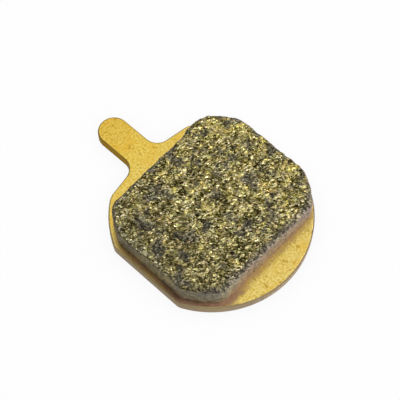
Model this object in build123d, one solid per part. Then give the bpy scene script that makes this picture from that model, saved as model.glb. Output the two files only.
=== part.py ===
"""Disc brake pad: a stamped backing plate with a pull tab, and a sintered friction block bonded to its face.

The origin is the centre of the round plate, on its back face. The plate lies in the XY plane, the tab points
along +Y and the friction block stands up along +Z. Sizes are in millimetres, angles in degrees.
"""
import os
from math import radians, tan

from build123d import *

# Backing plate
plate_radius = 12.5
plate_thickness = 1.3
flat_depth = 1.15              # how far each side flat is cut into the round outline
flat_corner_radius = 1.5       # where a side flat runs into the round outline
shoulder_drop = 0.95           # from the top of the round outline down to where the shoulder lines meet
shoulder_slope = 9.0           # fall of each shoulder away from the tab
shoulder_corner_radius = 2.5   # where a shoulder runs into the round outline
tab_width = 4.0
tab_length = 6.2               # from the top of the round outline to the tip of the tab
tab_root_radius = 1.9
die_roll = 0.2                 # rounded edge that stamping leaves on the friction side
back_edge_break = 0.1

# Friction block
side_ledge = 0.55              # plate showing beside the block at the side flats
corner_ledge = 0.55            # plate showing beside the rounded corners of the block
block_height = 17.8            # across the block, along the tab's direction
block_offset = 0.2             # how far the block sits off the plate's centre, away from the tab
block_thickness = 2.8
block_corner_blend = 2.0       # where a straight side runs into a rounded corner
block_edge_break = 0.3         # worn edge round the friction face

# Places that follow from the sizes
flat_x = plate_radius - flat_depth
shoulder_apex_y = plate_radius - shoulder_drop
shoulder_end_y = shoulder_apex_y - plate_radius * tan(radians(shoulder_slope))
tab_end_radius = tab_width / 2
tab_end_y = plate_radius + tab_length - tab_end_radius

# Two corners nearer than this are the same corner
same_place = 0.01


def disc_outline():
    """The round outline, cut by the two side flats and by the two shoulders that slope away from the tab."""
    with BuildSketch() as disc:
        Circle(plate_radius)
        Rectangle(2 * flat_x, 2 * plate_radius, mode=Mode.INTERSECT)
        with BuildLine():
            Polyline(
                (-plate_radius, -plate_radius),
                (plate_radius, -plate_radius),
                (plate_radius, shoulder_end_y),
                (0, shoulder_apex_y),
                (-plate_radius, shoulder_end_y),
                close=True,
            )
        make_face(mode=Mode.INTERSECT)
        shoulder_corners = [
            corner
            for corner in disc.vertices()
            if corner.Y > 0 and same_place < abs(corner.X) < flat_x - same_place
        ]
        fillet(shoulder_corners, shoulder_corner_radius)
        flat_corners = [corner for corner in disc.vertices() if abs(corner.X) > flat_x - same_place]
        fillet(flat_corners, flat_corner_radius)
    return disc.sketch


def plate_outline():
    """The disc with the round-ended tab between its shoulders, and a fillet on each side of the tab's root."""
    with BuildSketch() as plate:
        add(disc_outline())
        with Locations((0, tab_end_y)):
            Circle(tab_end_radius)
            Rectangle(tab_width, tab_end_y, align=(Align.CENTER, Align.MAX))
        beside_tab = [corner for corner in plate.vertices() if abs(abs(corner.X) - tab_end_radius) < same_place]
        tab_roots = [corner for corner in beside_tab if corner.Y < plate_radius]
        fillet(tab_roots, tab_root_radius)
    return plate.sketch


def backing_plate():
    """The stamped sheet: rolled over along its outline on the friction side, and only broken on the back."""
    plate = extrude(plate_outline(), plate_thickness)
    plate = fillet(plate.faces().sort_by(Axis.Z)[-1].edges(), die_roll)
    return fillet(plate.faces().sort_by(Axis.Z)[0].edges(), back_edge_break)


def block_outline():
    """A rectangle whose corners are rounded off by an arc that follows the plate's outline."""
    with BuildSketch() as block:
        with Locations((0, -block_offset)):
            Rectangle(2 * (flat_x - side_ledge), block_height)
        Circle(plate_radius - corner_ledge, mode=Mode.INTERSECT)
        fillet(block.vertices(), block_corner_blend)
    return block.sketch


def friction_block():
    """The pressed block on the plate's face, with a worn edge round its friction face."""
    block = extrude(block_outline(), block_thickness)
    block = fillet(block.faces().sort_by(Axis.Z)[-1].edges(), block_edge_break)
    return Pos(0, 0, plate_thickness) * block


os.makedirs("parts", exist_ok=True)
export_step(backing_plate(), "parts/backing_plate.step")
export_step(friction_block(), "parts/friction_block.step")
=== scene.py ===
"""Looks of the disc brake pad: a coarse sintered block on a gold-coated plate, on a white studio floor.

The plate is the CAD node with a coated-metal material. The friction block is replaced by a mesh of about the
same outline whose skin is broken into metal grains. Lengths are in millimetres where nothing else is said,
and MM turns them into metres. Colours are linear.

The tab points along +Y. The far side, away from the key lamp, lies towards -X and the near side towards -Y.
The low corner lies between these two, at the bottom of the picture.
"""
from collections import namedtuple
from math import ceil, cos, pi, radians, sin

import bpy
import numpy as np
from mathutils import Matrix, Vector, noise
from mathutils.kdtree import KDTree


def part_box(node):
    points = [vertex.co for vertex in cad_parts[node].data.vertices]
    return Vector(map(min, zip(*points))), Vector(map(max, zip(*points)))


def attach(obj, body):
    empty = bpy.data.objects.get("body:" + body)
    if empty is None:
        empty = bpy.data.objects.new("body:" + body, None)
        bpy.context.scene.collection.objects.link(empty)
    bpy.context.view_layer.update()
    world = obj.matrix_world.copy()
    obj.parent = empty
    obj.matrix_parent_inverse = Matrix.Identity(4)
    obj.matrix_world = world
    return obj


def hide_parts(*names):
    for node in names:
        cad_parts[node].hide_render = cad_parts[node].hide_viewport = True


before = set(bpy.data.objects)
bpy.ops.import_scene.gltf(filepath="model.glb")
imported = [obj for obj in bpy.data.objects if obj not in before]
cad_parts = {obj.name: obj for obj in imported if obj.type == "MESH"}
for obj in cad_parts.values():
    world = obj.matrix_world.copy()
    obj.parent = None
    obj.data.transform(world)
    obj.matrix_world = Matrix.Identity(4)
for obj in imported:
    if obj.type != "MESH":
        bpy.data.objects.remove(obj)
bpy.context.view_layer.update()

MM = 0.001

# Patches of noise: size, the levels from where to where they set in, full strength, octaves of finer noise
Patches = namedtuple("Patches", ("size", "span", "most", "detail"), defaults=(2.0,))


def rgb(red, green, blue):
    """A colour as a shader takes it."""
    return (red, green, blue, 1.0)


# Camera, fitted to the photograph's outline
VIEW_TURN = 46.91            # degrees from the tab's axis round to the view's up direction
VIEW_ELEVATION = 63.21       # degrees
CAMERA_DISTANCE = 150.0
PICTURE_WIDTH = 48.80        # of the object's plane, across the picture
AIM_RIGHT = -1.390           # from the origin to the middle of the picture
AIM_UP = 2.073
SENSOR_WIDTH = 36.0
CLIP_RANGE = (0.01, 10.0)    # metres

# Lamps: name, direction from the object, distance and size in metres, power in watts
LAMPS = (
    ("key", (0.686, -0.728, 0.72), 0.6, 0.5, 3.0),
    ("overhead", (0.308, 0.290, 0.906), 0.6, 0.6, 0.88),
)
SKY_STRENGTH = 0.14
WHITE = rgb(1, 1, 1)

# Floor
FLOOR_HALF = 0.6             # metres
FLOOR_DROP = 0.02            # under the back of the plate
FLOOR_GREY = rgb(0.45, 0.45, 0.45)
FLOOR_ROUGHNESS = 0.9
FLOOR_GLOW_SHARE = 0.985     # of what the camera sees of the floor; the rest shows the lamps' shadows
CONTACT_REACH = 3.0          # of the soft shadow where the object stands
CONTACT_SPAN = (0.5, 1.0)    # openness to the sky, from where to where that shadow ends
CONTACT_GLOW = (0.95, 1.0)   # the floor's glow there

# Outline and edge of the friction block
GRID_STEP = 0.075            # between neighbouring points of the friction face
WALL_STEP = 0.14             # between the rings of points on the walls
EDGE_RADIUS = 0.3            # mean rounding of the crumbled edge
EDGE_SPREAD = 0.4            # share by which that rounding comes and goes
EDGE_CHIP_SIZE = 0.9         # along the edge from one chip to the next
EDGE_CHIP_GAIN = 2           # makes the most of a noise that seldom reaches its limits
EDGE_RINGS = 5
OUTLINE_STEP = 0.1
OUTLINE_SWAY = 0.07          # that the pressed outline wanders off the drawn one
OUTLINE_SWAY_SIZE = 1.6
FULL_SIDE_SWELL = 0.13       # that the pressed outline is fuller on +X, and scanter on -X
FULL_CORNERS = (((6.2, 8.7), 0.42), ((-9.3, 7.5), 0.09))  # places where it swells, and by how much more
FULL_CORNER_WIDTH = 1.4
SAME_LEVEL = 0.001           # within which points belong to the foot
SAME_POINT_DIGITS = 4

# Grains in the block's skin
BLOCK_SEED = 11
GRAIN_SPACING = 0.21         # between grain centres
GRAIN_FLATNESS = 1.4         # how much wider than high the pressed grains are
GRAIN_NEIGHBOURS = 4         # seeds that have a say at each point
GRAIN_SEEDS = (-0.12, 0.12)  # along a grain, to the seeds that make it longer than wide
GRAIN_LAY = -47.0            # degrees, the way that most grains lie
GRAIN_LAY_SPREAD = 55.0      # degrees
GRAIN_BLEND = 0.015          # over which one grain runs into the next
GRAIN_KINDS = ((0.20, -0.060), (0.30, -0.010), (0.015, 0.020), (0.30, 0.015), (0.185, 0.035))  # share, level
GRAIN_LEVEL_SPREAD = 0.035
GRAIN_TILT_SPREAD = 0.3
CREVICE_DEPTH = 0.06
CREVICE_WIDTH = 0.06
CLUMP_SIZE = 1.6             # across the patches of higher and of lower grains
CLUMP_STRENGTH = 0.5
SWELL_SIZE = 3.0
SWELL_HEIGHT = 0.03
GRIT_SIZE = 0.13
GRIT_HEIGHT = 0.012
TOP_CLEARANCE = 0.02         # of the mean face under the CAD face, were no grain pressed flat
PRESSED_BLEND = 0.02         # over which the tallest grains are pressed flat under the CAD face
WALL_RELIEF = 0.40           # share of the face's relief that is left on the pressed walls
FOOT_FADE = 0.3              # above the plate, over which the relief sets in
RIM_WIDTH = 1.3              # of the face, inside its edge, where high grains and gold flakes get scarcer
RIM_LOSS = 0.08

# Levels of a noise between which most of it lies, and its middle ones
NOISE_MOST = (0.3, 0.7)
NOISE_MIDDLE = (0.35, 0.65)

# Sides and corners of the pad, from where to where they set in
FAR_SIDE = (-4.0, -9.0)      # along X
LOW_CORNER_WAY = (-0.7071, -0.7071, 0.0)
LOW_CORNER = (9.0, 11.0)     # along that way
TAB_SIDE = (6.0, 12.0)       # along Y, where the coating gets deeper
TAB_EDGE = (10.0, 12.0)      # along Y, where the cut edge gets golden
TAB_TIP = (12.0, 17.5)       # along Y, where the coating gets more orange

# Coating of the plate
GOLD_LIGHT = rgb(1.000, 0.800, 0.280)
GOLD_DEEP = rgb(0.690, 0.475, 0.070)
GOLD_ORANGE = rgb(0.860, 0.560, 0.090)
GOLD_SPECK = rgb(0.480, 0.290, 0.040)
GOLD_TOWARDS_TAB = rgb(1.02, 0.98, 0.66)
GOLD_TIP = rgb(0.94, 0.87, 0.74)
GOLD_EDGE_TINT = rgb(0.55, 0.40, 0.18)
GOLD_GRAIN_SIZE = 0.26
GOLD_GRAIN_DETAIL = 3.0
GOLD_ROUGHNESS = (0.22, 0.32)
GOLD_BUMP_STRENGTH = 0.35
GOLD_BUMP_HEIGHT = 0.03
ORANGE_PATCHES = Patches(2.2, (0.48, 0.72), 0.7)
SPECKS = Patches(0.55, (0.64, 0.74), 0.7, 1.0)
BARE_ROUGHNESS = 0.55
BARE_METALLIC = 0.15

# Cut and rolled edge of the plate
CUT_SPAN = (0.90, 0.995)     # upright part of the normal, from where to where the edge runs into the face
ROLLED_SPAN = (0.10, 0.45)   # and from where to where the edge gets to count as rolled over
STREAK_STRETCH = (1.0, 1.0, 0.15)  # scale of the place that the streaks' noise reads, so they run upright
STREAKS = Patches(0.2, NOISE_MIDDLE, 1.0, 3.0)
EDGE_BROWN = rgb(0.420, 0.300, 0.170)
EDGE_PALE = rgb(0.680, 0.530, 0.360)
# painted light: the cut edge made paler on the far side, which the lamps leave in shade
EDGE_FAR_LIT = rgb(0.780, 0.580, 0.360)
EDGE_GOLD = rgb(0.380, 0.255, 0.052)
# painted shade: the tab's cut edge darker near its foot, by the floor
EDGE_GOLD_LOW_SHADE = rgb(0.290, 0.195, 0.052)
TAB_EDGE_SHADE_SPAN = (0.3, 0.9)       # above the back, from where to where the painted shade at the foot of the tab's edge ends
# painted shade and painted light on the rolled edge: darker towards the key lamp, lighter away from it
ROLLED_EDGE_SHADED = rgb(0.200, 0.140, 0.085)
ROLLED_EDGE_LIT = rgb(0.900, 0.740, 0.340)
EDGE_ROLLED_TAB = rgb(0.540, 0.335, 0.055)
ROLLED_LIGHT_WAY = (-0.7071, 0.7071, 0.0)
ROLLED_LIGHT_RANGE = (-11.0, 11.0)  # along that way, from where to where the rolled edge is painted lighter
TAB_EDGE_BARE = 0.1          # share of the tab's cut edge that counts as bare

# Painted shade on the plate beside the block: the block's shade and its reflection in the gold, dull and less
# metallic
BLOCK_SHADE = rgb(0.570, 0.375, 0.170)
# painted shade, made lighter on the far side, which the lamps leave in shade
BLOCK_SHADE_FAR = rgb(0.740, 0.470, 0.240)
BLOCK_SHADE_RED = rgb(0.480, 0.250, 0.140)
# painted shade, made darker at the low corner, which the key lamp lights
BLOCK_SHADE_LOW = rgb(0.66, 0.60, 0.80)
BLOCK_SHADE_LOW_REACH = 0.45     # that it reaches further out at the low corner
BLOCK_SHADE_SWAY = 0.3           # that its reach comes and goes
BLOCK_SHADE_WIDTH = 0.75
BLOCK_SHADE_STRENGTH = 0.95
BLOCK_SHADE_END = (2.0, 7.0)     # along Y, from where to where it fades out
SHADE_NOISE_SIZE = 0.7
RED_SPAN = (0.45, 0.65)      # levels of that noise, from where to where the painted shade gets redder
RED_STRENGTH = 0.8

# Flakes of the friction face
FLAKE_WIDTH = 0.125
FLAKE_LENGTH = 3.8           # times its width
FLAKE_HEIGHT = 2.0           # on the walls, times its width
FLAKE_TURNS = (26.0, 60.0)   # degrees, the two ways that flakes lie
FLAKE_WAYS = Patches(0.5, (0.48, 0.52), 1.0)
FLAKE_TILT = 0.7
FLAKE_ROUGHNESS = (0.44, 0.66)
FLAKE_COLOURS = (
    (0.00, (0.072, 0.055, 0.006)),
    (0.28, (0.220, 0.181, 0.048)),
    (0.50, (0.495, 0.423, 0.148)),
    (0.72, (0.845, 0.745, 0.340)),
    (1.00, (0.910, 0.845, 0.640)),
)
FLAKE_POOR = rgb(0.95, 0.98, 1.34)
FLAKE_RICH = rgb(1.06, 1.01, 0.62)
FLAKE_PEACH = rgb(1.08, 0.89, 0.87)
FLAKE_GREEN = rgb(0.88, 1.00, 0.80)
FLAKE_MEAN = rgb(0.390, 0.330, 0.157)
PEACH_SPAN = (0.7, 1.0)      # of a flake's lot, from where to where it gets peach
GREEN_SPAN = (0.4, 0.0)      # and from where to where it gets green
CALM_SIDE = (-3.0, -9.0)     # along X, from where to where the flakes get alike
CALM_STRENGTH = 0.35
WARP_SIZE = 0.25
WARP_REACH = 0.12            # that a flake's edge is pushed aside
PATCH_LAY = (0.5, 0.35, 1.6)  # radians by which the patches' noise is turned off the pad's axes
RICH_PATCH_SIZE = 1.4
RICH_PATCH_SWING = 0.30
PAINTED_LIGHT_WAY = (0.8, 0.6, 0.0)   # the way in which the face is painted lighter: painted light
PAINTED_LIGHT_RANGE = (-12.0, 12.0)   # along that way
# painted light: how much lighter the face gets along that way, and a crest of more light on it
PAINTED_LIGHT_SLOPE = 0.15
PAINTED_LIGHT_CREST_RANGE = (2.0, 8.0)
PAINTED_LIGHT_CREST = 0.06
RIM_GAIN_FAR = 0.35
GRAPHITE = rgb(0.127, 0.122, 0.120)
GRAPHITE_PATCHES = Patches(2.0, (0.54, 0.63), 0.66)
# painted shade in the crevices between grains
CREVICE_PAINTED_SHADE = rgb(0.034, 0.026, 0.009)
CREVICE_SHADE_STRENGTH = 0.8

# Rim of the friction face: worn grey on the near side, painted shade along its edge towards the tab
RIM_GREY = rgb(0.250, 0.215, 0.175)
RIM_GREY_SIDE = (-4.0, -8.0)  # along Y, from where to where the worn rim gets grey
RIM_GREY_SPAN = (0.15, 0.65)  # of the rim's value, from where to where it is worn there
RIM_GREY_STRENGTH = 0.72
# painted shade along the face's edge towards the tab
RIM_PAINTED_SHADE = rgb(0.150, 0.110, 0.030)
RIM_SHADE_SIDE = (5.0, 8.0)  # along Y, from where to where the rim's edge is painted with shade
RIM_SHADE_SPAN = (0.8, 1.0)
RIM_SHADE_STRENGTH = 0.5
RIM_PATCHES = Patches(1.2, (0.47, 0.57), 0.7)
RIM_PATCH_SPAN = (0.35, 0.85)
RIM_PATCH_NEAR = 0.3         # what is left of these patches on the near side
RIM_PATCH_FAR = 0.4          # and on the far side

# Walls of the block
CLOUD_SIZE = 0.45
CLOUD_DETAIL = 4.0
SMEAR_CLOUD = 0.6            # share of the clouds' noise that is added to the wall's value
SMEAR_SPAN = (0.45, 0.95)    # of that sum, from where to where the smear sets in
SMEAR_STRENGTH = 0.95
SMEAR_SHADY = 0.38           # what is left of the smear on the shady sides
WALL_PALE = rgb(0.600, 0.475, 0.405)
WALL_DARK = rgb(0.260, 0.200, 0.150)
WALL_PINK = rgb(0.500, 0.340, 0.300)
# painted shade: the walls darker and browner on the far side
WALL_FAR_SHADE = rgb(0.95, 0.90, 0.56)
WALL_BLOTCH = rgb(0.070, 0.062, 0.036)
WALL_GREY = rgb(0.340, 0.335, 0.260)
WALL_GREY_STRENGTH = 0.8
# painted reflection of the gold plate on the walls' foot, and painted shade there on the far side
WALL_FOOT_GOLD_REFLECTION = rgb(0.480, 0.335, 0.205)
WALL_FOOT_FAR_SHADE = rgb(0.400, 0.235, 0.110)
WALL_FOOT_SPAN = (1.5, 3.2)  # above the back, from where to where the foot's painted reflection and shade end
WALL_FOOT_STRENGTH = 0.9
WALL_DIM = rgb(0.72, 0.70, 0.60)
WALL_LIT = rgb(1.38, 1.32, 0.96)
# painted light: the low corner's walls made brighter
WALL_LOW_PAINTED_LIGHT = rgb(1.48, 1.50, 1.74)
PINK_PATCHES = Patches(0.9, (0.45, 0.65), 0.8)
BLOTCHES = Patches(1.0, (0.44, 0.56), 0.75)
MOTTLE = Patches(0.6, NOISE_MIDDLE, 1.0)
WALL_SPAN = (0.15, 0.8)      # of the wall's value, from where to where metal gives way to smear
FACE_TO_WALL_METALLIC = (1.0, 0.1)


def turn_of(points):
    """Direction of each plan point from the origin, in radians."""
    return np.arctan2(points[:, 1], points[:, 0])


def sort_round(loop):
    """Points sorted by their direction from the origin."""
    return loop[np.argsort(turn_of(loop))]


def flat(points, level=0.0):
    """Plan points as points in space at one level."""
    return np.column_stack([points, np.full(len(points), level)])


def field(points, size):
    """Smooth noise at each point, with features of one size."""
    return np.array([noise.noise(Vector(point) / size) for point in points.tolist()])


def outward(loop):
    """Unit normals that point out of a closed anticlockwise loop of plan points."""
    run = np.roll(loop, -1, axis=0) - np.roll(loop, 1, axis=0)
    normal = np.stack([run[:, 1], -run[:, 0]], axis=1)
    return normal / np.linalg.norm(normal, axis=1, keepdims=True)


def cross(a, b):
    """Cross product of plan vectors."""
    return a[..., 0] * b[..., 1] - a[..., 1] * b[..., 0]


def reach(loop, directions):
    """How far a loop round the origin lies in each direction."""
    side = np.searchsorted(turn_of(loop), turn_of(directions)) - 1
    first = loop[side]
    run = loop[(side + 1) % len(loop)] - first
    return cross(first, run) / cross(directions, run)


def plan_outline(node):
    """Corners of a node's foot, sorted round the origin."""
    points = np.array([vertex.co for vertex in node.data.vertices]) / MM
    foot = points[points[:, 2] < points[:, 2].min() + SAME_LEVEL][:, :2]
    return sort_round(np.unique(foot.round(SAME_POINT_DIGITS), axis=0))


def uneven_outline(loop):
    """The outline as pressed: close points that wander, one fuller side and two fuller corners."""
    after = np.roll(loop, -1, axis=0)
    counts = np.maximum(np.ceil(np.linalg.norm(after - loop, axis=1) / OUTLINE_STEP).astype(int), 1)
    sides = [a + (b - a) * np.arange(n)[:, None] / n for a, b, n in zip(loop, after, counts)]
    close = np.concatenate(sides)
    sway = OUTLINE_SWAY * field(flat(close), OUTLINE_SWAY_SIZE)
    sway += FULL_SIDE_SWELL * close[:, 0] / np.abs(close[:, 0]).max()
    for corner, swell in FULL_CORNERS:
        away = np.linalg.norm(close - np.array(corner), axis=1)
        sway += swell * np.exp(-(away / FULL_CORNER_WIDTH) ** 2)
    return sort_round(close + outward(close) * sway[:, None])


def edge_rounding(loop):
    """How far the edge is crumbled away at each point of the outline."""
    chips = np.clip(EDGE_CHIP_GAIN * field(flat(loop, 1.0), EDGE_CHIP_SIZE), -1, 1)
    return EDGE_RADIUS * (1 + EDGE_SPREAD * chips)


def face_grid(loop):
    """Square-ringed grid that fills a loop: its points, and the row and column counts."""
    half = np.abs(loop).max(axis=0)
    columns, rows = (ceil(2 * size / GRID_STEP) for size in half)
    u, v = np.meshgrid(np.linspace(-1, 1, columns + 1), np.linspace(-1, 1, rows + 1))
    square = np.stack([u.ravel(), v.ravel()], axis=1)
    ring = np.abs(square).max(axis=1)
    direction = square * half
    direction[ring == 0] = (1, 0)
    direction /= np.linalg.norm(direction, axis=1, keepdims=True)
    return direction * (reach(loop, direction) * ring)[:, None], rows, columns


def grid_rim(index):
    """Point numbers along a grid's border, anticlockwise."""
    return np.concatenate([index[0, :-1], index[:-1, -1], index[-1, :0:-1], index[:0:-1, 0]])


def grid_faces(index):
    """Faces of a grid, each as four point numbers."""
    corners = (index[:-1, :-1], index[:-1, 1:], index[1:, 1:], index[1:, :-1])
    return np.stack([corner.ravel() for corner in corners], axis=1).tolist()


def edge_profile(edge, height):
    """Rings from the face down to the foot: how far each lies out and down, and its normal's turn."""
    turns = [pi / 2 * step / EDGE_RINGS for step in range(1, EDGE_RINGS + 1)]
    rounded = [(edge * sin(turn), edge * (1 - cos(turn)), turn) for turn in turns]
    wall_rings = ceil((height - EDGE_RADIUS) / WALL_STEP)
    shares = np.arange(1, wall_rings + 1) / wall_rings
    return rounded + [(edge, edge + (height - edge) * share, pi / 2) for share in shares]


def block_skin(loop, foot_z, top_z):
    """Points, normals and faces of the smooth block, closed at its foot, and the line round its walls."""
    rounding = edge_rounding(loop)
    inner = sort_round(loop - outward(loop) * rounding[:, None])
    face, rows, columns = face_grid(inner)
    index = np.arange(len(face)).reshape(rows + 1, columns + 1)
    rim = grid_rim(index)
    out = outward(face[rim])
    edge = np.interp(turn_of(face[rim]), turn_of(loop), rounding, period=2 * pi)
    points = [flat(face, top_z)]
    normals = [np.tile((0.0, 0.0, 1.0), (len(face), 1))]
    faces = grid_faces(index)
    last = rim
    count = len(face)
    for spread, drop, turn in edge_profile(edge, top_z - foot_z):
        points.append(np.column_stack([face[rim] + out * spread[:, None], top_z - drop]))
        normals.append(flat(out * sin(turn), cos(turn)))
        ring = np.arange(count, count + len(rim))
        faces += np.stack([last, ring, np.roll(ring, -1), np.roll(last, -1)], axis=1).tolist()
        last = ring
        count += len(rim)
    points.append(np.array([[0.0, 0.0, foot_z]]))
    normals.append(np.array([[0.0, 0.0, -1.0]]))
    faces += [(count, after, here) for here, after in zip(last.tolist(), np.roll(last, -1).tolist())]
    return np.concatenate(points), np.concatenate(normals), faces, face[rim] + out * edge[:, None]


def search_tree(points):
    """A tree that finds the nearest of a row of points."""
    tree = KDTree(len(points))
    for index, point in enumerate(points.tolist()):
        tree.insert(point, index)
    tree.balance()
    return tree


def rim_share(points, loop):
    """One on a loop's line, falling to nought a rim's width away from it."""
    tree = search_tree(flat(loop))
    away = np.array([tree.find((x, y, 0))[2] for x, y, _ in points.tolist()])
    return np.clip(1 - away / RIM_WIDTH, 0, 1)


def scatter_grains(low, high, loop):
    """Grain centres in a box, with each grain's level and tilt, and the seeds that give it its shape."""
    random = np.random.default_rng(BLOCK_SEED)
    size = high - low
    count = int(np.prod(size) * GRAIN_FLATNESS / (GRAIN_SPACING ** 3 * len(GRAIN_SEEDS)))
    centres = low + random.random((count, 3)) * size
    pick = random.random(count) + CLUMP_STRENGTH * field(centres, CLUMP_SIZE)
    pick -= RIM_LOSS * rim_share(centres, loop)
    shares, levels = np.array(GRAIN_KINDS).T
    kind = np.minimum(np.searchsorted(np.cumsum(shares), pick), len(GRAIN_KINDS) - 1)
    level = levels[kind] + random.normal(0, GRAIN_LEVEL_SPREAD, count)
    tilt = random.normal(0, GRAIN_TILT_SPREAD, (count, 3))
    turn = radians(GRAIN_LAY) + (2 * random.random(count) - 1) * radians(GRAIN_LAY_SPREAD)
    way = np.column_stack([np.cos(turn), np.sin(turn), np.zeros(count)])
    seeds = np.concatenate([centres + way * place for place in GRAIN_SEEDS])
    owner = np.tile(np.arange(count), len(GRAIN_SEEDS))
    return {"seed": seeds, "owner": owner, "centre": centres, "level": level, "tilt": tilt}


def near_grains(points, grains):
    """The grains of the few seeds nearest to each point, and how far those lie in the grains' own measure."""
    squeeze = np.array((1.0, 1.0, GRAIN_FLATNESS))
    tree = search_tree(grains["seed"] * squeeze)
    found = [tree.find_n(point, GRAIN_NEIGHBOURS) for point in (points * squeeze).tolist()]
    near = np.array([[hit[1] for hit in hits] for hits in found])
    far = np.array([[hit[2] for hit in hits] for hits in found])
    return grains["owner"][near], far


def grain_relief(points, grains):
    """How far the grains lift each point off the smooth block, and how deep in a crevice it lies."""
    near, far = near_grains(points, grains)
    weight = np.exp((far[:, :1] - far) / GRAIN_BLEND)
    weight /= weight.sum(axis=1, keepdims=True)
    other = np.where(near[:, 1:] != near[:, :1], far[:, 1:], np.inf).min(axis=1)
    crevice = np.clip(1 - (other - far[:, 0]) / CREVICE_WIDTH, 0, 1) ** 2
    offset = points[:, None, :] - grains["centre"][near]
    lean = (offset * grains["tilt"][near]).sum(axis=2)
    relief = ((grains["level"][near] + lean) * weight).sum(axis=1) - CREVICE_DEPTH * crevice
    relief += SWELL_HEIGHT * field(points, SWELL_SIZE) + GRIT_HEIGHT * field(points, GRIT_SIZE)
    return -PRESSED_BLEND * np.logaddexp(0, (TOP_CLEARANCE - relief) / PRESSED_BLEND), crevice


def store(mesh, name, values):
    """Keeps one value per mesh point under a name that the material reads."""
    layer = mesh.attributes.new(name, "FLOAT", "POINT")
    layer.data.foreach_set("value", np.asarray(values, dtype=np.float32))


def grain_block():
    """The sintered block: the CAD block's outline with a skin of metal grains."""
    low, high = (np.array(corner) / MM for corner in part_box("friction_block"))
    loop = uneven_outline(plan_outline(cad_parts["friction_block"]))
    points, normals, faces, rim_loop = block_skin(loop, low[2], high[2])
    relief, crevice = grain_relief(points, scatter_grains(low, high, rim_loop))
    upward = np.clip(normals[:, 2], 0, 1)
    share = WALL_RELIEF + (1 - WALL_RELIEF) * upward
    share *= np.clip((points[:, 2] - low[2]) / FOOT_FADE, 0, 1)
    placed = points + normals * (relief * share)[:, None]

    mesh = bpy.data.meshes.new("sintered_block")
    mesh.from_pydata((placed * MM).tolist(), [], faces)
    mesh.shade_smooth()
    store(mesh, "hollow", crevice)
    store(mesh, "rim", rim_share(points, rim_loop))
    store(mesh, "wall", 1 - upward)
    block = bpy.data.objects.new("sintered_block", mesh)
    bpy.context.scene.collection.objects.link(block)
    return block


def fill(tree, node, inputs):
    """Gives a node its inputs, as values or as links."""
    for socket, value in inputs.items():
        if isinstance(value, bpy.types.NodeSocket):
            tree.links.new(value, node.inputs[socket])
        else:
            node.inputs[socket].default_value = value


def add_node(tree, kind, inputs=None, **settings):
    """Adds a shader node with its settings and inputs."""
    made = tree.nodes.new(kind)
    for name, value in settings.items():
        setattr(made, name, value)
    fill(tree, made, inputs or {})
    return made


def new_material(name):
    """A material, its node tree and its main shader."""
    material = bpy.data.materials.new(name)
    material.use_nodes = True
    tree = material.node_tree
    return material, tree, tree.nodes["Principled BSDF"]


def ramp(tree, value, span, to=(0.0, 1.0)):
    """A value taken from one span to another, and held at its ends."""
    made = add_node(tree, "ShaderNodeMapRange", {
        "Value": value, "From Min": span[0], "From Max": span[1], "To Min": to[0], "To Max": to[1],
    })
    return made.outputs["Result"]


def ramp_mm(tree, length, span, to=(0.0, 1.0)):
    """The same for a length in metres, over a span in millimetres."""
    return ramp(tree, length, (span[0] * MM, span[1] * MM), to)


def less(tree, zone, left):
    """One outside a zone, down to what is left inside it."""
    return ramp(tree, zone, (0.0, 1.0), (1.0, left))


def mix(tree, share, first, second, blend="MIX"):
    """One colour taken towards another by a share."""
    inputs = {0: share, 6: first, 7: second}
    return add_node(tree, "ShaderNodeMix", inputs, data_type="RGBA", blend_type=blend).outputs[2]


def mix_value(tree, share, first, second):
    """One number taken towards another by a share."""
    inputs = {0: share, 2: first, 3: second}
    return add_node(tree, "ShaderNodeMix", inputs, data_type="FLOAT").outputs[0]


def number(tree, operation, *values):
    """Arithmetic on up to three numbers."""
    return add_node(tree, "ShaderNodeMath", dict(enumerate(values)), operation=operation).outputs[0]


def chain(tree, operation, values):
    """One operation carried along a row of numbers."""
    total = values[0]
    for value in values[1:]:
        total = number(tree, operation, total, value)
    return total


def times(tree, *values):
    """The product of a row of numbers."""
    return chain(tree, "MULTIPLY", values)


def largest(tree, *values):
    """The largest of a row of numbers."""
    return chain(tree, "MAXIMUM", values)


def vector(tree, operation, *values):
    """Vector arithmetic on up to three vectors."""
    made = add_node(tree, "ShaderNodeVectorMath", dict(enumerate(values)), operation=operation)
    return made.outputs["Vector"]


def along(tree, coords, way):
    """How far a point lies along one way."""
    made = add_node(tree, "ShaderNodeVectorMath", {0: coords, 1: way}, operation="DOT_PRODUCT")
    return made.outputs["Value"]


def split(tree, coords):
    """The X, Y and Z of a vector."""
    return add_node(tree, "ShaderNodeSeparateXYZ", {"Vector": coords}).outputs


def speckle(tree, coords, size, detail=2.0):
    """Noise with features of about one size."""
    inputs = {"Vector": coords, "Scale": 1 / (size * MM), "Detail": detail}
    return add_node(tree, "ShaderNodeTexNoise", inputs).outputs["Fac"]


def patches(tree, coords, kind):
    """Patches of noise: nought under their span of levels, and their full strength above it."""
    return ramp(tree, speckle(tree, coords, kind.size, kind.detail), kind.span, (0.0, kind.most))


def colour_ramp(tree, value, stops):
    """A colour read off a row of stops, each a place from nought to one with a colour."""
    made = add_node(tree, "ShaderNodeValToRGB", {"Fac": value})
    points = made.color_ramp.elements
    while len(points) < len(stops):
        points.new(0.5)
    for point, (place, colour) in zip(points, stops):
        point.position = place
        point.color = rgb(*colour)
    return made.outputs["Color"]


def low_corner(tree, coords):
    """One in the low corner, nought elsewhere."""
    return ramp_mm(tree, along(tree, coords, LOW_CORNER_WAY), LOW_CORNER)


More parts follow.
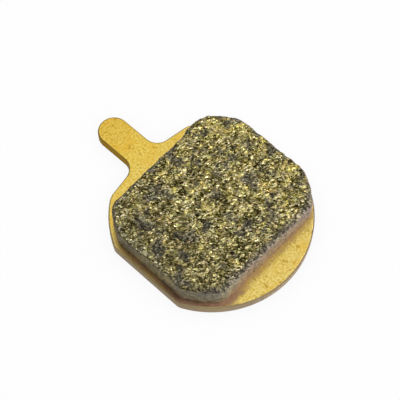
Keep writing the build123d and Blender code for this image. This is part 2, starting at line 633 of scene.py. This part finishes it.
def block_distance(tree, coords, place):
    """How far a point of the plate lies outside the block's foot, in metres."""
    low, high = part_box("friction_block")
    corner = np.linalg.norm(plan_outline(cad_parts["friction_block"]), axis=1).max() * MM
    across = number(tree, "SUBTRACT", number(tree, "ABSOLUTE", place["X"]), high[0])
    centred = number(tree, "SUBTRACT", place["Y"], (low[1] + high[1]) / 2)
    lengthways = number(tree, "SUBTRACT", number(tree, "ABSOLUTE", centred), (high[1] - low[1]) / 2)
    in_plan = vector(tree, "MULTIPLY", coords, (1, 1, 0))
    radius = add_node(tree, "ShaderNodeVectorMath", {0: in_plan}, operation="LENGTH").outputs["Value"]
    return largest(tree, across, lengthways, number(tree, "SUBTRACT", radius, corner))


def plate_zones(tree, coords):
    """Where on the plate a point lies: its place, and one to nought for each zone."""
    place = split(tree, coords["Object"])
    upright = number(tree, "ABSOLUTE", split(tree, coords["Normal"])["Z"])
    cut = ramp(tree, upright, CUT_SPAN, (1.0, 0.0))
    return {
        "place": place,
        "cut": cut,
        "rolled": times(tree, cut, ramp(tree, upright, ROLLED_SPAN)),
        "far": ramp_mm(tree, place["X"], FAR_SIDE),
        "low": low_corner(tree, coords["Object"]),
        "tab_edge": ramp_mm(tree, place["Y"], TAB_EDGE),
    }


def gold_colour(tree, coords, grain, zone):
    """The coating: fine grain, orange patches and dark specks, deeper towards the tab and its tip."""
    colour = mix(tree, ramp(tree, grain, NOISE_MIDDLE), GOLD_DEEP, GOLD_LIGHT)
    colour = mix(tree, patches(tree, coords, ORANGE_PATCHES), colour, GOLD_ORANGE)
    colour = mix(tree, patches(tree, coords, SPECKS), colour, GOLD_SPECK)
    colour = mix(tree, ramp_mm(tree, zone["place"]["Y"], TAB_SIDE), colour, GOLD_TOWARDS_TAB, "MULTIPLY")
    return mix(tree, ramp_mm(tree, zone["place"]["Y"], TAB_TIP), colour, GOLD_TIP, "MULTIPLY")


def edge_colour(tree, coords, zone):
    """The cut edge: brown streaks, painted lighter on the far side, golden on the tab with painted shade at
    its foot, and where it is rolled, painted darker towards the key lamp and lighter away from it.
    """
    streaks = add_node(tree, "ShaderNodeMapping", {"Vector": coords, "Scale": STREAK_STRETCH})
    edge = mix(tree, patches(tree, streaks.outputs["Vector"], STREAKS), EDGE_BROWN, EDGE_PALE)
    # painted light on the far side's cut edge
    edge = mix(tree, zone["far"], edge, EDGE_FAR_LIT)
    # painted shade at the foot of the tab's cut edge
    low_shade = ramp_mm(tree, zone["place"]["Z"], TAB_EDGE_SHADE_SPAN, (1.0, 0.0))
    edge = mix(tree, zone["tab_edge"], edge, mix(tree, low_shade, EDGE_GOLD, EDGE_GOLD_LOW_SHADE))
    # painted shade and painted light along the rolled edge
    rolled_light = ramp_mm(tree, along(tree, coords, ROLLED_LIGHT_WAY), ROLLED_LIGHT_RANGE)
    rolled_light_and_shade = mix(tree, rolled_light, ROLLED_EDGE_SHADED, ROLLED_EDGE_LIT)
    rolled_light_and_shade = mix(tree, zone["tab_edge"], rolled_light_and_shade, EDGE_ROLLED_TAB)
    return mix(tree, zone["rolled"], edge, rolled_light_and_shade)


def block_shade(tree, coords, zone):
    """Where the plate is painted with shade beside the block, and the colour of that painted shade."""
    shade_noise = speckle(tree, coords, SHADE_NOISE_SIZE)
    wander = ramp(tree, shade_noise, NOISE_MOST, (-BLOCK_SHADE_SWAY * MM, BLOCK_SHADE_SWAY * MM))
    wander = number(tree, "SUBTRACT", wander, times(tree, zone["low"], BLOCK_SHADE_LOW_REACH * MM))
    away = number(tree, "ADD", block_distance(tree, coords, zone["place"]), wander)
    beside = ramp_mm(tree, away, (0.0, BLOCK_SHADE_WIDTH), (BLOCK_SHADE_STRENGTH, 0.0))
    shade_band = times(tree, beside, ramp_mm(tree, zone["place"]["Y"], BLOCK_SHADE_END, (1.0, 0.0)))
    far_shade = mix(tree, ramp(tree, shade_noise, RED_SPAN, (0.0, RED_STRENGTH)), BLOCK_SHADE_FAR, BLOCK_SHADE_RED)
    colour = mix(tree, zone["far"], BLOCK_SHADE, far_shade)
    return shade_band, mix(tree, zone["low"], colour, BLOCK_SHADE_LOW, "MULTIPLY")


def plate_material():
    """Gold-coloured coating on sheet steel, with browner cut edges, partly painted lighter and darker, and a
    dull band of painted shade beside the block.
    """
    material, tree, shader = new_material("gold_coating")
    coords = add_node(tree, "ShaderNodeTexCoord").outputs
    zone = plate_zones(tree, coords)
    grain = speckle(tree, coords["Object"], GOLD_GRAIN_SIZE, GOLD_GRAIN_DETAIL)
    # painted shade beside the block: its share, which also dulls the coating, and its colour
    shade_band, shade_band_colour = block_shade(tree, coords["Object"], zone)
    face = mix(tree, shade_band, gold_colour(tree, coords["Object"], grain, zone), shade_band_colour)
    bare_edge = times(tree, zone["cut"], less(tree, zone["tab_edge"], TAB_EDGE_BARE))
    bare = largest(tree, bare_edge, shade_band, zone["rolled"])
    bump = add_node(tree, "ShaderNodeBump", {
        "Height": grain, "Strength": GOLD_BUMP_STRENGTH, "Distance": GOLD_BUMP_HEIGHT * MM,
    })
    fill(tree, shader, {
        "Base Color": mix(tree, zone["cut"], face, edge_colour(tree, coords["Object"], zone)),
        "Specular Tint": GOLD_EDGE_TINT,
        "Roughness": mix_value(tree, bare, ramp(tree, grain, NOISE_MOST, GOLD_ROUGHNESS), BARE_ROUGHNESS),
        "Metallic": less(tree, bare, BARE_METALLIC),
        "Normal": bump.outputs["Normal"],
    })
    return material


def block_zones(tree, coords):
    """Where on the block a point lies: its place, the values kept in the mesh, and the sides of the pad."""
    kept = ("wall", "rim", "hollow")
    zone = {name: add_node(tree, "ShaderNodeAttribute", attribute_name=name).outputs["Fac"] for name in kept}
    zone["place"] = split(tree, coords)
    zone["low"] = low_corner(tree, coords)
    far = ramp_mm(tree, zone["place"]["X"], FAR_SIDE)
    zone["shady"] = largest(tree, far, zone["low"])
    zone["far"] = number(tree, "SUBTRACT", far, zone["low"])
    zone["near"] = ramp_mm(tree, zone["place"]["Y"], RIM_GREY_SIDE)
    return zone


def flakes(tree, coords, turn):
    """One random colour for each flake, all flakes lying the same way."""
    laid = add_node(tree, "ShaderNodeMapping", {
        "Vector": coords, "Rotation": (0, 0, radians(turn)), "Scale": (1, FLAKE_LENGTH, FLAKE_HEIGHT),
    }, vector_type="TEXTURE")
    size = FLAKE_WIDTH * MM
    cells = add_node(tree, "ShaderNodeTexVoronoi", {"Vector": laid.outputs["Vector"], "Scale": 1 / size})
    return cells.outputs["Color"]


def flake_lots(tree, coords):
    """Three random lots for each flake, as a colour; the flakes lie in two ways and have uneven edges."""
    warp = add_node(tree, "ShaderNodeTexNoise", {"Vector": coords, "Scale": 1 / (WARP_SIZE * MM)})
    warped = vector(tree, "MULTIPLY_ADD", warp.outputs["Color"], (WARP_REACH * MM,) * 3, coords)
    first, second = (flakes(tree, warped, turn) for turn in FLAKE_TURNS)
    return mix(tree, patches(tree, coords, FLAKE_WAYS), first, second)


def wealth_and_painted_light(tree, coords, askew):
    """How much richer in gold a place is than the mean, in patches, plus painted light: a slope across the
    pad and a crest on it.
    """
    swing = (-RICH_PATCH_SWING, RICH_PATCH_SWING)
    clump = ramp(tree, speckle(tree, askew, RICH_PATCH_SIZE), NOISE_MOST, swing)
    rise = along(tree, coords, PAINTED_LIGHT_WAY)
    # painted light across the face
    light_slope = ramp_mm(tree, rise, PAINTED_LIGHT_RANGE, (-PAINTED_LIGHT_SLOPE, PAINTED_LIGHT_SLOPE))
    light_crest = ramp_mm(tree, rise, PAINTED_LIGHT_CREST_RANGE, (0.0, PAINTED_LIGHT_CREST))
    return number(tree, "ADD", clump, number(tree, "ADD", light_slope, light_crest))


def flake_colour(tree, lot, wealth_and_light, zone):
    """From dark to bright gold by a flake's lot and its place, some more peach and some more green."""
    rich = number(tree, "ADD", lot["Red"], wealth_and_light)
    rich = number(tree, "MULTIPLY_ADD", zone["rim"], -RIM_LOSS, rich)
    rich = number(tree, "ADD", rich, times(tree, zone["rim"], zone["far"], RIM_GAIN_FAR))
    colour = colour_ramp(tree, rich, FLAKE_COLOURS)
    tint = mix(tree, ramp(tree, wealth_and_light, (-RICH_PATCH_SWING, RICH_PATCH_SWING)), FLAKE_POOR, FLAKE_RICH)
    colour = mix(tree, 1.0, colour, tint, "MULTIPLY")
    calm = ramp_mm(tree, zone["place"]["X"], CALM_SIDE, (0.0, CALM_STRENGTH))
    colour = mix(tree, calm, colour, FLAKE_MEAN)
    colour = mix(tree, ramp(tree, lot["Blue"], PEACH_SPAN), colour, FLAKE_PEACH, "MULTIPLY")
    return mix(tree, ramp(tree, lot["Blue"], GREEN_SPAN), colour, FLAKE_GREEN, "MULTIPLY")


def rim_wear_and_shade(tree, coords, colour, zone):
    """The face with its rim worn grey on the near side, painted with shade along its edge towards the tab,
    and patched with graphite.
    """
    shade_side = ramp_mm(tree, zone["place"]["Y"], RIM_SHADE_SIDE, (0.0, RIM_SHADE_STRENGTH))
    rim_shade = times(tree, ramp(tree, zone["rim"], RIM_SHADE_SPAN), shade_side)
    grey = ramp(tree, zone["rim"], RIM_GREY_SPAN, (0.0, RIM_GREY_STRENGTH))
    # worn grey on the near side, painted shade towards the tab
    wear_and_shade = mix_value(tree, zone["near"], rim_shade, grey)
    colour = mix(tree, wear_and_shade, colour, mix(tree, zone["near"], RIM_PAINTED_SHADE, RIM_GREY))
    at_rim = ramp(tree, zone["rim"], RIM_PATCH_SPAN)
    patch = times(tree, patches(tree, coords, RIM_PATCHES), at_rim, less(tree, zone["near"], RIM_PATCH_NEAR))
    patch = times(tree, patch, less(tree, zone["far"], RIM_PATCH_FAR))
    return mix(tree, patch, colour, GRAPHITE)


def face_colour(tree, coords, lot, zone):
    """The friction face: flakes, graphite patches, painted shade in the crevices, and a rim that is worn, and
    painted with shade towards the tab.
    """
    askew = add_node(tree, "ShaderNodeMapping", {"Vector": coords, "Rotation": PATCH_LAY}).outputs["Vector"]
    colour = flake_colour(tree, lot, wealth_and_painted_light(tree, coords, askew), zone)
    colour = mix(tree, patches(tree, askew, GRAPHITE_PATCHES), colour, GRAPHITE)
    # painted shade in the crevices
    hollow = ramp(tree, zone["hollow"], (0.0, 1.0), (0.0, CREVICE_SHADE_STRENGTH))
    return rim_wear_and_shade(tree, coords, mix(tree, hollow, colour, CREVICE_PAINTED_SHADE), zone)


def wall_colour(tree, coords, cloud, zone):
    """The pressed walls: pale and pink clouds, painted shade on the far side, grey low corner, and a foot
    painted with the gold plate's reflection, and with shade on the far side.
    """
    pressed = mix(tree, ramp(tree, cloud, NOISE_MIDDLE), WALL_DARK, WALL_PALE)
    pressed = mix(tree, patches(tree, coords, PINK_PATCHES), pressed, WALL_PINK)
    # painted shade on the far walls
    pressed = mix(tree, zone["far"], pressed, WALL_FAR_SHADE, "MULTIPLY")
    blotch = times(tree, patches(tree, coords, BLOTCHES), zone["far"])
    pressed = mix(tree, blotch, pressed, WALL_BLOTCH)
    pressed = mix(tree, times(tree, zone["low"], WALL_GREY_STRENGTH), pressed, WALL_GREY)
    # painted reflection of the gold plate at the walls' foot, painted shade there on the far side
    foot = mix(tree, zone["far"], WALL_FOOT_GOLD_REFLECTION, WALL_FOOT_FAR_SHADE)
    at_foot = ramp_mm(tree, zone["place"]["Z"], WALL_FOOT_SPAN, (WALL_FOOT_STRENGTH, 0.0))
    return mix(tree, at_foot, pressed, foot)


def skin_colour(tree, coords, lot, zone):
    """The face's colour, smeared over on the walls, mottled where these are shady, with painted light on the
    low corner's walls.
    """
    cloud = speckle(tree, coords, CLOUD_SIZE, CLOUD_DETAIL)
    smear = number(tree, "MULTIPLY_ADD", cloud, SMEAR_CLOUD, zone["wall"])
    smear = ramp(tree, smear, SMEAR_SPAN, (0.0, SMEAR_STRENGTH))
    smear = times(tree, smear, less(tree, zone["shady"], SMEAR_SHADY))
    face = face_colour(tree, coords, lot, zone)
    skin = mix(tree, smear, face, wall_colour(tree, coords, cloud, zone))
    mottle = mix(tree, patches(tree, coords, MOTTLE), WALL_DIM, WALL_LIT)
    skin = mix(tree, times(tree, zone["wall"], zone["shady"]), skin, mottle, "MULTIPLY")
    # painted light on the low corner's walls
    return mix(tree, times(tree, zone["wall"], zone["low"]), skin, WALL_LOW_PAINTED_LIGHT, "MULTIPLY")


def flake_normal(tree, lots):
    """The surface's normal, leaning another way on each flake."""
    tilt = vector(tree, "MULTIPLY_ADD", lots, (FLAKE_TILT,) * 3, (-FLAKE_TILT / 2,) * 3)
    normal = add_node(tree, "ShaderNodeNewGeometry").outputs["Normal"]
    return vector(tree, "NORMALIZE", vector(tree, "ADD", normal, tilt))


def block_material():
    """Sintered metal: tilted flakes of gold-coloured and dark metal, and smeared walls."""
    material, tree, shader = new_material("sintered_metal")
    coords = add_node(tree, "ShaderNodeTexCoord").outputs["Object"]
    zone = block_zones(tree, coords)
    lots = flake_lots(tree, coords)
    lot = add_node(tree, "ShaderNodeSeparateColor", {"Color": lots}).outputs
    fill(tree, shader, {
        "Base Color": skin_colour(tree, coords, lot, zone),
        "Metallic": ramp(tree, zone["wall"], WALL_SPAN, FACE_TO_WALL_METALLIC),
        "Roughness": ramp(tree, lot["Green"], (0.0, 1.0), FLAKE_ROUGHNESS),
        "Normal": flake_normal(tree, lots),
    })
    return material


def dress_plate():
    """Gives the CAD plate its coating."""
    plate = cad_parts["backing_plate"]
    plate.data.materials.clear()
    plate.data.materials.append(plate_material())


def dress_block():
    """Puts the sintered block in the place of the CAD block."""
    block = grain_block()
    block.data.materials.append(block_material())
    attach(block, "root")
    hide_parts("friction_block")


def view_axes():
    """Right, up and back of the picture, in the object's frame."""
    turn, rise = radians(VIEW_TURN), radians(VIEW_ELEVATION)
    right = Vector((cos(turn), -sin(turn), 0))
    up = Vector((sin(turn) * sin(rise), cos(turn) * sin(rise), cos(rise)))
    return right, up, right.cross(up)


def add_camera():
    """The photograph's camera."""
    right, up, back = view_axes()
    lens = bpy.data.cameras.new("photo_camera")
    lens.sensor_width = SENSOR_WIDTH
    lens.lens = SENSOR_WIDTH * CAMERA_DISTANCE / PICTURE_WIDTH
    lens.clip_start, lens.clip_end = CLIP_RANGE
    camera = bpy.data.objects.new("photo_camera", lens)
    bpy.context.scene.collection.objects.link(camera)
    place = (back * CAMERA_DISTANCE + right * AIM_RIGHT + up * AIM_UP) * MM
    camera.matrix_world = Matrix.Translation(place) @ Matrix((right, up, back)).transposed().to_4x4()
    bpy.context.scene.camera = camera


def add_light(name, towards, distance, size, power):
    """A soft square lamp that faces the object from one direction."""
    lamp = bpy.data.lights.new(name, "AREA")
    lamp.size = size
    lamp.energy = power
    holder = bpy.data.objects.new(name, lamp)
    bpy.context.scene.collection.objects.link(holder)
    direction = Vector(towards).normalized()
    holder.location = direction * distance
    holder.rotation_euler = direction.to_track_quat("Z", "Y").to_euler()


def add_world():
    """A dim grey sky all round."""
    world = bpy.data.worlds.new("studio")
    bpy.context.scene.world = world
    world.use_nodes = True
    tree = world.node_tree
    tree.nodes.clear()
    sky = add_node(tree, "ShaderNodeBackground", {"Color": WHITE, "Strength": SKY_STRENGTH})
    add_node(tree, "ShaderNodeOutputWorld", {"Surface": sky.outputs["Background"]})


def background_rays(tree):
    """One for rays that see the background straight, in gloss or through glass, and nought for light."""
    path = add_node(tree, "ShaderNodeLightPath").outputs
    return largest(tree, path["Is Camera Ray"], path["Is Glossy Ray"], path["Is Transmission Ray"])


def floor_material():
    """A grey floor that looks white to the camera, a little less so where the object stands."""
    material, tree, shader = new_material("white_floor")
    fill(tree, shader, {"Base Color": FLOOR_GREY, "Roughness": FLOOR_ROUGHNESS})
    open_sky = add_node(tree, "ShaderNodeAmbientOcclusion", {"Distance": CONTACT_REACH * MM}).outputs["AO"]
    strength = ramp(tree, open_sky, CONTACT_SPAN, CONTACT_GLOW)
    glow = add_node(tree, "ShaderNodeEmission", {"Color": WHITE, "Strength": strength}).outputs["Emission"]
    share = ramp(tree, background_rays(tree), (0.0, 1.0), (0.0, FLOOR_GLOW_SHARE))
    both = add_node(tree, "ShaderNodeMixShader", {0: share, 1: shader.outputs["BSDF"], 2: glow})
    fill(tree, tree.nodes["Material Output"], {"Surface": both.outputs["Shader"]})
    return material


def add_floor():
    """A wide floor just under the plate."""
    half = FLOOR_HALF
    corners = [(-half, -half, 0), (half, -half, 0), (half, half, 0), (-half, half, 0)]
    mesh = bpy.data.meshes.new("floor")
    mesh.from_pydata(corners, [], [(0, 1, 2, 3)])
    mesh.materials.append(floor_material())
    floor = bpy.data.objects.new("floor", mesh)
    floor.location.z = -FLOOR_DROP * MM
    bpy.context.scene.collection.objects.link(floor)


bpy.context.scene.view_settings.view_transform = "Standard"
dress_plate()
dress_block()
add_camera()
add_world()
add_floor()
for lamp_values in LAMPS:
    add_light(*lamp_values)
